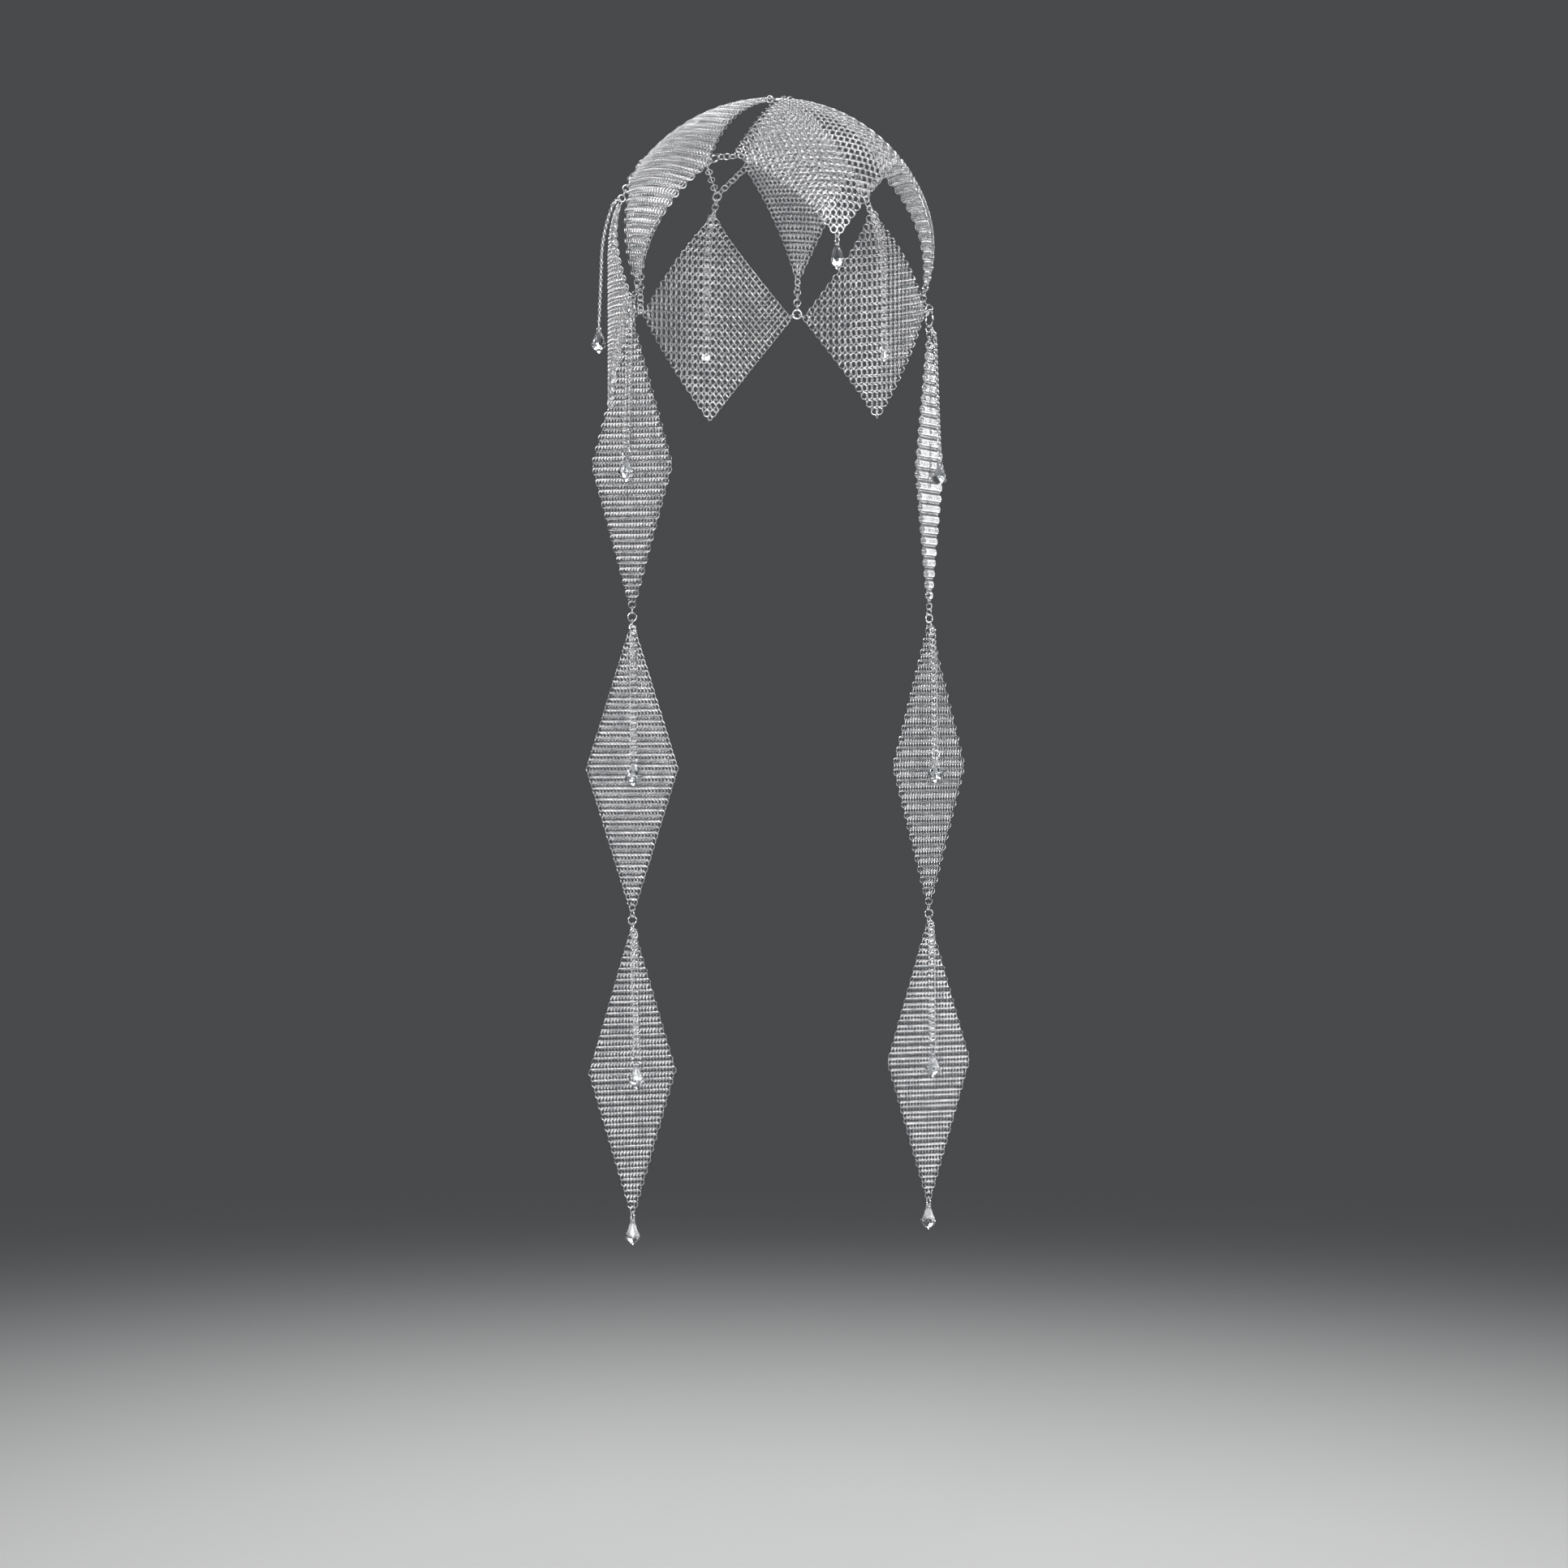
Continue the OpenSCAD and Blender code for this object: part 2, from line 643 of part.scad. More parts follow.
crown_ring();
crown_links();
mail_panel(front_p);  // mail_front
right() mail_panel(side_p);  // mail_side_r
left() mail_panel(side_p);  // mail_side_l
right() mail_panel(rear_p);  // mail_rear_r
left() mail_panel(rear_p);  // mail_rear_l
right() mail_panel(low_p);  // mail_low_r
left() mail_panel(low_p);  // mail_low_l
mail_panel(back_p);  // mail_low_back
right() junction_front(1);  // junction_front_r
left() junction_front(-1);  // junction_front_l
right() junction_rear();  // junction_rear_r
left() junction_rear();  // junction_rear_l
junction_back();
right() nape_ring(1);  // nape_ring_r
left() nape_ring(-1);  // nape_ring_l
right() temple_ring();  // temple_ring_r
left() temple_ring();  // temple_ring_l
right() temple_links();  // temple_links_r
left() temple_links();  // temple_links_l
front_links();
jump_ring(front_p);  // front_jump
jump_drop(front_p);  // front_drop_glass
right() chain(low_p);  // low_chain_r
left() chain(low_p);  // low_chain_l
chain(back_p);  // low_chain_back
right() chain_drop(low_p);  // low_glass_r
left() chain_drop(low_p);  // low_glass_l
chain_drop(back_p);  // low_glass_back
right() strand_swivel(1);  // swivel_1_r
right() strand_swivel(2);  // swivel_2_r
right() strand_swivel(3);  // swivel_3_r
right() strand_mail(1);  // strand_1_r
right() strand_mail(2);  // strand_2_r
right() strand_mail(3);  // strand_3_r
right() chain(strand_p(1));  // chain_1_r
right() chain(strand_p(2));  // chain_2_r
right() chain(strand_p(3));  // chain_3_r
right() chain_drop(strand_p(1));  // glass_1_r
right() chain_drop(strand_p(2));  // glass_2_r
right() chain_drop(strand_p(3));  // glass_3_r
right() jump_ring(strand_p(3));  // end_jump_r
right() jump_drop(strand_p(3));  // end_glass_r
left() strand_swivel(1);  // swivel_1_l
left() strand_swivel(2);  // swivel_2_l
left() strand_swivel(3);  // swivel_3_l
left() strand_mail(1);  // strand_1_l
left() strand_mail(2);  // strand_2_l
left() strand_mail(3);  // strand_3_l
left() chain(strand_p(1));  // chain_1_l
left() chain(strand_p(2));  // chain_2_l
left() chain(strand_p(3));  // chain_3_l
left() chain_drop(strand_p(1));  // glass_1_l
left() chain_drop(strand_p(2));  // glass_2_l
left() chain_drop(strand_p(3));  // glass_3_l
left() jump_ring(strand_p(3));  // end_jump_l
left() jump_drop(strand_p(3));  // end_glass_l
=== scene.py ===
"""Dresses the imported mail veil: woven steel ring panels, chains, larger rings and clear drops.

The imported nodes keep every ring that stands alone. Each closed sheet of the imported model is
replaced by its mail, ring by ring, laid out by the same rows, pitches and head form.
Lengths in the classes are millimetres, as in the part's source, and metres in the scene.
"""

import json
import logging
import math
from dataclasses import dataclass, field
from enum import Enum
from typing import Dict, Iterator, List, Sequence, Set, Tuple

import bpy
from mathutils import Matrix, Vector

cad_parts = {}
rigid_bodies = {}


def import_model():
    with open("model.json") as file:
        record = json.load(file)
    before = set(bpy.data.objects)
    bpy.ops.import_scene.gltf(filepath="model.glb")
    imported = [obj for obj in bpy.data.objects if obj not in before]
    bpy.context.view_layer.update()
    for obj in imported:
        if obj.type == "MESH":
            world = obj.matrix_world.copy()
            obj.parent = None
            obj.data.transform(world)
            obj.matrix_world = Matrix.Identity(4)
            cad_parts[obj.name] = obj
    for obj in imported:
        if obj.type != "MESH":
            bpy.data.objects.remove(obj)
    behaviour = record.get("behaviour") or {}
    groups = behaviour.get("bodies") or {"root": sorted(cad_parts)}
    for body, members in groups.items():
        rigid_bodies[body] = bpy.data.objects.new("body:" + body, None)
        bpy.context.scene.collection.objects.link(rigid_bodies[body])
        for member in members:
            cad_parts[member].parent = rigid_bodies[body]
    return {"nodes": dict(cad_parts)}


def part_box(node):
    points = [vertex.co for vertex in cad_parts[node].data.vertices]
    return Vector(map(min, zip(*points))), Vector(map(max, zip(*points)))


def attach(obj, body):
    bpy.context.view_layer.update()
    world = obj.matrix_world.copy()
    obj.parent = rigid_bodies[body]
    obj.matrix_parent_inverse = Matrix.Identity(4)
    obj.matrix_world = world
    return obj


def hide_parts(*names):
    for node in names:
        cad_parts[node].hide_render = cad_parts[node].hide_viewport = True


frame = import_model()

log = logging.getLogger("mail_veil")

MM = 0.001


class Corner(Enum):
    """The four corners of a diamond panel."""

    TOP = "top"
    FOOT = "foot"
    FRONT = "front"
    BACK = "back"


class Hand(Enum):
    """Whether a panel stands where it was laid out or is the mirror image of one."""

    LAID = 1
    MIRRORED = -1


# Selection and mesh helpers


def clear_selection() -> None:
    """Deselects every object and leaves none active."""
    for obj in bpy.context.view_layer.objects:
        obj.select_set(False)
    bpy.context.view_layer.objects.active = None


def select_only(obj: bpy.types.Object) -> None:
    """Makes one object the only one selected, and active.

    Args:
        obj: the object to select.
    """
    clear_selection()
    obj.select_set(True)
    bpy.context.view_layer.objects.active = obj


def settle(obj: bpy.types.Object) -> None:
    """Puts an object's place into its mesh, so that it ends at the origin, unturned."""
    select_only(obj)
    bpy.ops.object.transform_apply(location=True, rotation=True, scale=True)


def joined(pieces: Sequence[bpy.types.Object], name: str) -> bpy.types.Object:
    """Joins objects into one that stands at the origin.

    Args:
        pieces: the objects to join, which are used up.
        name: the new object's name.

    Returns:
        The joined object.
    """
    clear_selection()
    for piece in pieces:
        piece.select_set(True)
    bpy.context.view_layer.objects.active = pieces[0]
    bpy.ops.object.join()
    whole = bpy.context.view_layer.objects.active
    whole.name = name
    whole.data.name = name
    settle(whole)
    return whole


def dress(obj: bpy.types.Object, material: bpy.types.Material) -> None:
    """Gives an object one material, on every face."""
    obj.data.materials.clear()
    obj.data.materials.append(material)


# Finishes


class SurfaceMarks:
    """Builds the shader group that both finishes share: soft cloudy change over a surface."""

    NAME = "handling_marks"

    def group(self) -> bpy.types.NodeTree:
        """Returns the group, built the first time it is asked for.

        Returns:
            The node group of the marks.
        """
        known = bpy.data.node_groups.get(self.NAME)
        if known:
            return known
        tree = bpy.data.node_groups.new(self.NAME, "ShaderNodeTree")
        for label, kind, value in (
            ("Cloud Scale", "NodeSocketFloat", 140.0),
            ("Grain Scale", "NodeSocketFloat", 2600.0),
            ("Low", "NodeSocketFloat", 0.1),
            ("High", "NodeSocketFloat", 0.3),
        ):
            tree.interface.new_socket(label, in_out="INPUT", socket_type=kind).default_value = value
        tree.interface.new_socket("Roughness", in_out="OUTPUT", socket_type="NodeSocketFloat")
        tree.interface.new_socket("Cloud", in_out="OUTPUT", socket_type="NodeSocketFloat")
        tree.interface.new_socket("Grain", in_out="OUTPUT", socket_type="NodeSocketFloat")
        nodes, links = tree.nodes, tree.links
        given = nodes.new("NodeGroupInput")
        put = nodes.new("NodeGroupOutput")
        place = nodes.new("ShaderNodeTexCoord")
        cloud = nodes.new("ShaderNodeTexNoise")
        cloud.inputs["Detail"].default_value = 3.0
        grain = nodes.new("ShaderNodeTexNoise")
        grain.inputs["Detail"].default_value = 2.0
        blend = nodes.new("ShaderNodeMapRange")
        links.new(place.outputs["Object"], cloud.inputs["Vector"])
        links.new(place.outputs["Object"], grain.inputs["Vector"])
        links.new(given.outputs["Cloud Scale"], cloud.inputs["Scale"])
        links.new(given.outputs["Grain Scale"], grain.inputs["Scale"])
        links.new(cloud.outputs["Fac"], blend.inputs["Value"])
        blend.inputs["From Min"].default_value = 0.3
        blend.inputs["From Max"].default_value = 0.7
        links.new(given.outputs["Low"], blend.inputs["To Min"])
        links.new(given.outputs["High"], blend.inputs["To Max"])
        links.new(blend.outputs["Result"], put.inputs["Roughness"])
        links.new(cloud.outputs["Fac"], put.inputs["Cloud"])
        links.new(grain.outputs["Fac"], put.inputs["Grain"])
        return tree


@dataclass(frozen=True)
class SteelFinish:
    """Drawn steel wire, tumbled bright, a little greyer where the rings rub."""

    name: str = "bright_steel"
    bright: Tuple[float, float, float] = (0.9, 0.905, 0.91)
    rubbed: Tuple[float, float, float] = (0.7, 0.71, 0.73)
    smooth: float = 0.1
    dull: float = 0.26
    cloud_scale: float = 160.0
    grain_scale: float = 2800.0
    grain_height: float = 0.00001

    def material(self) -> bpy.types.Material:
        """Returns this finish as a material, built once.

        Returns:
            The material of this finish.
        """
        known = bpy.data.materials.get(self.name)
        if known:
            return known
        material = bpy.data.materials.new(self.name)
        material.use_nodes = True
        nodes, links = material.node_tree.nodes, material.node_tree.links
        shader = nodes["Principled BSDF"]
        shader.inputs["Metallic"].default_value = 1.0
        marks = nodes.new("ShaderNodeGroup")
        marks.node_tree = SurfaceMarks().group()
        marks.inputs["Cloud Scale"].default_value = self.cloud_scale
        marks.inputs["Grain Scale"].default_value = self.grain_scale
        marks.inputs["Low"].default_value = self.smooth
        marks.inputs["High"].default_value = self.dull
        tint = nodes.new("ShaderNodeMix")
        tint.data_type = "RGBA"
        tint.inputs["A"].default_value = (*self.bright, 1.0)
        tint.inputs["B"].default_value = (*self.rubbed, 1.0)
        share = nodes.new("ShaderNodeMapRange")
        share.inputs["From Min"].default_value = 0.42
        share.inputs["From Max"].default_value = 0.8
        bump = nodes.new("ShaderNodeBump")
        bump.inputs["Strength"].default_value = 0.25
        bump.inputs["Distance"].default_value = self.grain_height
        links.new(marks.outputs["Cloud"], share.inputs["Value"])
        links.new(share.outputs["Result"], tint.inputs["Factor"])
        links.new(tint.outputs["Result"], shader.inputs["Base Color"])
        links.new(marks.outputs["Roughness"], shader.inputs["Roughness"])
        links.new(marks.outputs["Grain"], bump.inputs["Height"])
        links.new(bump.outputs["Normal"], shader.inputs["Normal"])
        return material


@dataclass(frozen=True)
class GlassFinish:
    """Clear cut glass with a faint change of polish from facet to facet."""

    name: str = "clear_cut_glass"
    colour: Tuple[float, float, float] = (0.96, 0.98, 1.0)
    index: float = 1.56
    smooth: float = 0.0
    dull: float = 0.04

    def material(self) -> bpy.types.Material:
        """Returns this finish as a material, built once.

        Returns:
            The material of this finish.
        """
        known = bpy.data.materials.get(self.name)
        if known:
            return known
        material = bpy.data.materials.new(self.name)
        material.use_nodes = True
        nodes, links = material.node_tree.nodes, material.node_tree.links
        shader = nodes["Principled BSDF"]
        shader.inputs["Base Color"].default_value = (*self.colour, 1.0)
        shader.inputs["Metallic"].default_value = 0.0
        shader.inputs["IOR"].default_value = self.index
        shader.inputs["Transmission Weight"].default_value = 1.0
        marks = nodes.new("ShaderNodeGroup")
        marks.node_tree = SurfaceMarks().group()
        marks.inputs["Cloud Scale"].default_value = 260.0
        marks.inputs["Low"].default_value = self.smooth
        marks.inputs["High"].default_value = self.dull
        links.new(marks.outputs["Roughness"], shader.inputs["Roughness"])
        return material


# The ring and the head


@dataclass
class MailRing:
    """One mail ring, modelled once and copied into every place of the weave."""

    diameter: float = 3.9
    wire: float = 0.5
    lean: float = 31.0
    gap: float = 0.1
    round_steps: int = 12
    wire_steps: int = 4

    @property
    def step(self) -> float:
        """Distance between the middles of two linked rings."""
        return self.diameter - self.wire - self.gap

    def model(self) -> bpy.types.Object:
        """Makes the ring, standing in its X-Z plane at the origin.

        Returns:
            The ring, smoothed, to be copied.
        """
        clear_selection()
        grow = 1.0 / math.cos(math.pi / self.round_steps) ** 0.5
        bpy.ops.mesh.primitive_torus_add(
            major_segments=self.round_steps,
            minor_segments=self.wire_steps,
            major_radius=self.diameter / 2 * MM * grow,
            minor_radius=self.wire / 2 * MM * 1.06,
            rotation=(math.pi / 2, 0.0, 0.0),
        )
        ring = bpy.context.view_layer.objects.active
        settle(ring)
        bpy.ops.object.shade_smooth()
        return ring


@dataclass
class HeadForm:
    """The ellipsoid that the cap lies on, in millimetres."""

    width: float = 180.0
    length: float = 192.0
    rise: float = 86.7
    forward: float = 12.0
    mail_half: float = 3.9 / 2 * math.sin(math.radians(31.0)) + 0.25

    @property
    def axes(self) -> Vector:
        """The three half axes."""
        return Vector((self.width / 2, self.length / 2, self.rise))

    @property
    def middle(self) -> Vector:
        """The ellipsoid's middle, so that the mail rests on the origin."""
        drop = self.rise * math.sqrt(1 - (2 * self.forward / self.length) ** 2)
        return Vector((0.0, self.forward, self.mail_half - drop))

    def point(self, way: Vector) -> Vector:
        """The place on the head in a direction of the unit ball."""
        return self.middle + Vector(a * w for a, w in zip(self.axes, way))

    def outward(self, way: Vector) -> Vector:
        """The outward normal there."""
        return Vector(w / a for a, w in zip(self.axes, way)).normalized()

    def way_at(self, angle: float, z: float) -> Vector:
        """The direction at an angle from the front, at a height.

        Args:
            angle: degrees from the front towards the wearer's right.
            z: height above the crown, in millimetres.

        Returns:
            The direction in the unit ball.
        """
        h = (z - self.middle.z) / self.rise
        k = math.sqrt(max(0.0, 1 - h * h))
        t = math.radians(angle)
        return Vector((-k * math.sin(t), -k * math.cos(t), h))

    def way_over(self, x: float, y: float) -> Vector:
        """The direction of the place on top of the head over a point of the plan."""
        u, v = x / self.axes.x, (y - self.forward) / self.axes.y
        return Vector((u, v, math.sqrt(1 - u * u - v * v)))


# Panels of mail


@dataclass
class MailPanel:
    """A diamond of linked rings: rows lean to either side in turn."""

    node: str
    body: str
    ring: MailRing
    hand: Hand = Hand.LAID
    edge_rings: int = 26
    loose: Tuple[Corner, ...] = ()
    loose_rows: int = 2

    @property
    def rows(self) -> int:
        """Rows from the panel's first ring to its last."""
        return 2 * self.edge_rings - 1

    @property
    def middle_row(self) -> int:
        """The widest row."""
        return self.edge_rings - 1

    def point(self, row: float, along: float) -> Vector:
        """Where a ring's middle lies, in millimetres."""
        raise NotImplementedError

    def outward(self, row: float, along: float) -> Vector:
        """Which way is out of the sheet there."""
        raise NotImplementedError

    def seat(self, row: float, along: float) -> Matrix:
        """A ring's place in the scene.

        Args:
            row: the row, from the top.
            along: the place in the row, in rings from the middle.

        Returns:
            The matrix that puts the modelled ring there, leaning as its row does.
        """
        out = self.outward(row, along)
        up = self.point(row - 0.5, along) - self.point(row + 0.5, along)
        up = (up - out * up.dot(out)).normalized()
        side = up.cross(out)
        middle = self.point(row, along) * MM
        turn = Matrix((side, -out, up)).transposed().to_4x4()
        lean = math.radians(self.ring.lean) * (1 if row % 2 == 0 else -1) * self.hand.value
        return Matrix.Translation(middle) @ turn @ Matrix.Rotation(lean, 4, "Z")

    def places(self) -> Iterator[Tuple[int, float]]:
        """Row and place of each ring of the whole diamond.

        Returns:
            Each row with each place along it, from the top.
        """
        for row in range(self.rows):
            count = min(row, self.rows - 1 - row) + 1
            for k in range(count):
                yield row, k - (count - 1) / 2

    def standing_alone(self) -> Set[Tuple[int, float]]:
        """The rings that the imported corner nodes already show.

        Returns:
            The row and place of each such ring.
        """
        alone: Set[Tuple[int, float]] = set()
        for k in range(self.loose_rows):
            for j in range(k + 1):
                c = j - k / 2
                spots = {
                    Corner.TOP: (k, c),
                    Corner.FOOT: (self.rows - 1 - k, c),
                    Corner.FRONT: (int(self.middle_row + 2 * c), (self.middle_row - k) / 2),
                    Corner.BACK: (int(self.middle_row + 2 * c), -(self.middle_row - k) / 2),
                }
                alone.update(spots[corner] for corner in self.loose)
        return alone

    def weave(self, pattern: bpy.types.Object) -> bpy.types.Object:
        """Copies the ring into every place and joins the copies.

        Args:
            pattern: the modelled ring.

        Returns:
            The panel's mail, in the place of its packed sheet.
        """
        alone = self.standing_alone()
        links: List[bpy.types.Object] = []
        for row, along in self.places():
            if (row, along) in alone:
                continue
            link = pattern.copy()
            link.data = pattern.data.copy()
            link.matrix_world = self.seat(row, along)
            bpy.context.scene.collection.objects.link(link)
            links.append(link)
        return joined(links, self.node + "_mail")


@dataclass
class CrownPanel(MailPanel):
    """A panel of the cap: its middle column and its middle row run down great circles."""

    head: HeadForm = field(default_factory=HeadForm)
    angle: float = 0.0
    drop: float = 81.0
    pitch: float = 3.82
    crown_d: float = 10.4
    crown_wire: float = 1.0

    def __post_init__(self) -> None:
        """Works out the directions that the panel is laid out from."""
        top = self.first_way()
        foot = self.head.way_at(self.angle, -self.drop)
        self.mid = (top + foot).normalized()
        self.up = (top - self.mid * top.dot(self.mid)).normalized()
        self.side = top.cross(foot).normalized()
        self.turn = math.acos(top.dot(foot))
        self.reach = Vector(a * s for a, s in zip(self.head.axes, self.side)).length

    def first_way(self) -> Vector:
        """Direction of the panel's first ring, one link away from the crown ring.

        Returns:
            The unit direction from the middle of the head.
        """
        ring = self.ring
        crown_step = (self.crown_d + ring.diameter - self.crown_wire - ring.wire) / 2 - ring.gap
        reach = crown_step + ring.step
        t = math.radians(self.angle)
        x, y = -math.sin(t), -math.cos(t)
        crown = self.head.point(self.head.way_over(0.0, 0.0))
        far = self.head.point(self.head.way_over(reach * x, reach * y)) - crown
        flat = reach * reach / far.length
        return self.head.way_over(flat * x, flat * y)

    def way(self, row: float, along: float) -> Vector:
        """Direction of a place in the panel.

        Args:
            row: the row of rings.
            along: the place along the row, in rings.

        Returns:
            The unit direction from the middle of the head.
        """
        b = self.turn * (0.5 - row / (self.rows - 1))
        w = along * self.pitch / self.reach / math.cos(b) ** 0.6
        level = self.mid * math.cos(w) + self.side * math.sin(w)
        return level * math.cos(b) + self.up * math.sin(b)

    def point(self, row: float, along: float) -> Vector:
        """Where a ring's middle lies on the head."""
        return self.head.point(self.way(row, along))

    def outward(self, row: float, along: float) -> Vector:
        """The head's outward normal there."""
        return self.head.outward(self.way(row, along))


@dataclass
class LowPanel(MailPanel):
    """A panel that hangs down the side or the back of the head."""

    head: HeadForm = field(default_factory=HeadForm)
    angle: float = 180.0
    drop: float = 55.0
    pitch: float = 3.8
    row_step: float = 2.3

    def way(self, row: float, along: float) -> Vector:
        """Direction of a place in the panel, level with the widest part when below it.

        Args:
            row: the row of rings.
            along: the place along the row, in rings.

        Returns:
            The unit direction from the middle of the head.
        """
        z = -self.drop - row * self.row_step
        h = max(0.0, (z - self.head.middle.z) / self.head.rise)
        k = math.sqrt(1 - h * h)
        w = along * self.pitch / ((self.head.width + self.head.length) / 4)
        a = math.radians(self.angle) - w
        return Vector((-k * math.sin(a), -k * math.cos(a), h))

    def point(self, row: float, along: float) -> Vector:
        """Where a ring's middle lies."""
        on_head = self.head.point(self.way(row, along))
        return Vector((on_head.x, on_head.y, -self.drop - row * self.row_step))

    def outward(self, row: float, along: float) -> Vector:
        """The head's outward normal there."""
        return self.head.outward(self.way(row, along))


@dataclass
class HangingPanel(MailPanel):
    """A flat panel of a strand, turned outwards about its plumb line."""

    first: Vector = field(default_factory=Vector)
    turned: float = 0.0
    pitch: float = 1.9
    row_step: float = 3.07

    def point(self, row: float, along: float) -> Vector:
        """Where a ring's middle lies.

        Args:
            row: the row of rings.
            along: the place along the row, in rings.

        Returns:
            The middle of the ring, in millimetres.
        """
        t = math.radians(self.turned)
        side = Vector((math.cos(t), -math.sin(t), 0.0)) * (along * self.pitch)
        return self.first + side - Vector((0.0, 0.0, row * self.row_step))

    def outward(self, row: float, along: float) -> Vector:
        """Out of the sheet, the same everywhere."""
        t = math.radians(self.turned)
        return Vector((-math.sin(t), -math.cos(t), 0.0))


@dataclass
class CurbLink:
    """One chain link: an oval of wire, turned a quarter from end to end, modelled once."""

    wire: float = 0.8
    width: float = 4.4
    play: float = 0.05
    round_steps: int = 20
    wire_steps: int = 6

    def model(self, step: float) -> bpy.types.Object:
        """Makes the link upright at the origin, flat to the front at its middle.

        Args:
            step: distance between the middles of two links, in millimetres.

        Returns:
            The link, smoothed, to be copied.
        """
        clear_selection()
        radius = (self.width - self.wire) / 2
        long_radius = (step + self.wire + self.play) / 2
        bpy.ops.mesh.primitive_torus_add(
            major_segments=self.round_steps,
            minor_segments=self.wire_steps,
            major_radius=radius * MM,
            minor_radius=self.wire / 2 * MM,
            rotation=(math.pi / 2, 0.0, 0.0),
        )
        link = bpy.context.view_layer.objects.active
        settle(link)
        for end in (1, -1):
            self.draw_out(link, end, (long_radius - radius) * MM)
        twist = link.modifiers.new("quarter_turn", "SIMPLE_DEFORM")
        twist.deform_method = "TWIST"
        twist.deform_axis = "Z"
        twist.angle = math.pi / 2
        bpy.ops.object.modifier_apply(modifier=twist.name)
        bpy.ops.object.shade_smooth()
        return link

    def draw_out(self, link: bpy.types.Object, end: int, way: float) -> None:
        """Moves one half of the link outwards, which leaves straight sides between the ends.

        Args:
            link: the link to shape.
            end: which half to move, 1 for the upper and -1 for the lower.
            way: how far to move it, in metres.
        """
        bpy.ops.object.mode_set(mode="EDIT")
        bpy.ops.mesh.select_all(action="DESELECT")
        bpy.ops.object.mode_set(mode="OBJECT")
        for vertex in link.data.vertices:
            vertex.select = vertex.co.z * end > 1e-6
        bpy.ops.object.mode_set(mode="EDIT")
        bpy.ops.transform.translate(value=(0.0, 0.0, end * way))
        bpy.ops.object.mode_set(mode="OBJECT")


@dataclass
class PanelChain:
    """The chain that hangs over a panel from its hanger to the ring of its drop."""

    panel: MailPanel
    node: str
    body: str
    links: int = 22
    start_off: float = 3.4
    drop_off: float = 6.2
    hook_angle: float = 50.0
    jump_d: float = 4.9
    jump_wire: float = 0.8

    def stand(self, k: int) -> float:
        """How far link k stands in front of the middle of the sheet."""
        return self.start_off + (self.drop_off - self.start_off) * max(0, k - 1) / (self.links - 1)

    def over(self, row: float, k: int) -> Vector:
        """The place of link k over a row of the panel."""
        return self.panel.point(row, 0) + self.panel.outward(row, 0) * self.stand(k)

    def start(self) -> Vector:
        """The place on the hanger's ring that the chain leaves from.

        Returns:
            The place, in millimetres.
        """
        panel, ring = self.panel, self.panel.ring
        out = panel.outward(0, 0)
        up = panel.point(-0.5, 0) - panel.point(0.5, 0)
        up = (up - out * up.dot(out)).normalized()
        hanger = panel.point(0, 0) + up * ring.step
        a = math.radians(self.hook_angle)
        return hanger + (out * math.sin(a) - up * math.cos(a)) * ring.diameter / 2

    def path(self) -> List[Tuple[Vector, float]]:
        """The middle of each link, with the row of the panel that it hangs over.

        Returns:
            One middle and row for each link.
        """
        step = self.panel.ring.step
        rows = [0.0, 0.75 / (self.over(1, 1) - self.over(0, 1)).length]
        for k in range(2, self.links + 1):
            last = self.over(rows[-1], k - 1)
            ahead = rows[-1] + step / (self.over(rows[-1] + 1, k) - last).length
            share = step * 0.998 / (self.over(ahead, k) - last).length - 1
            rows.append(ahead + (ahead - rows[-1]) * share)
        spots = [(self.over(row, k), row) for k, row in enumerate(rows[:-1])]
        start = self.start()
        spots[0] = (start + (spots[1][0] - start) * 0.38, 0.0)
        return spots

    def build(self, pattern: bpy.types.Object) -> bpy.types.Object:
        """Copies the link down the path and adds the larger ring at its foot.

        Args:
            pattern: the modelled link.

        Returns:
            The whole chain.
        """
        spots = self.path()
        last, before = spots[-1][0], spots[-2][0]
        jump_step = (self.jump_d + self.panel.ring.diameter - self.jump_wire
                     - self.panel.ring.wire) / 2 - self.panel.ring.gap
        jump = last + (last - before).normalized() * jump_step
        middles = [self.start()] + [spot for spot, _ in spots] + [jump]
        pieces: List[bpy.types.Object] = []
        for k, (spot, row) in enumerate(spots):
            along = (middles[k] - middles[k + 2]).normalized()
            out = self.panel.outward(max(0.0, row), 0)
            out = (out - along * out.dot(along)).normalized()
            link = pattern.copy()
            link.data = pattern.data.copy()
            side = along.cross(out)
            turn = Matrix((side, -out, along)).transposed().to_4x4()
            link.matrix_world = Matrix.Translation(spot * MM) @ turn
            bpy.context.scene.collection.objects.link(link)
            pieces.append(link)
        pieces.append(self.jump_ring(jump, spots[-1][1]))
        return joined(pieces, self.node + "_links")

    def jump_ring(self, middle: Vector, row: float) -> bpy.types.Object:
        """Makes the larger ring that the drop hangs from, flat to the front.

        Args:
            middle: its middle, in millimetres.
            row: the row of the panel behind it.

        Returns:
            The ring.
        """
        out = self.panel.outward(row, 0)
        level = Vector((out.x, out.y, 0.0)).normalized()
        clear_selection()
        bpy.ops.mesh.primitive_torus_add(
            major_segments=36,
            minor_segments=12,
            major_radius=self.jump_d / 2 * MM,
            minor_radius=self.jump_wire / 2 * MM,
        )
        ring = bpy.context.view_layer.objects.active
        upright = level.to_track_quat("Z", "Y").to_matrix().to_4x4()
        ring.matrix_world = Matrix.Translation(middle * MM) @ upright
        settle(ring)
        bpy.ops.object.shade_smooth()
        return ring


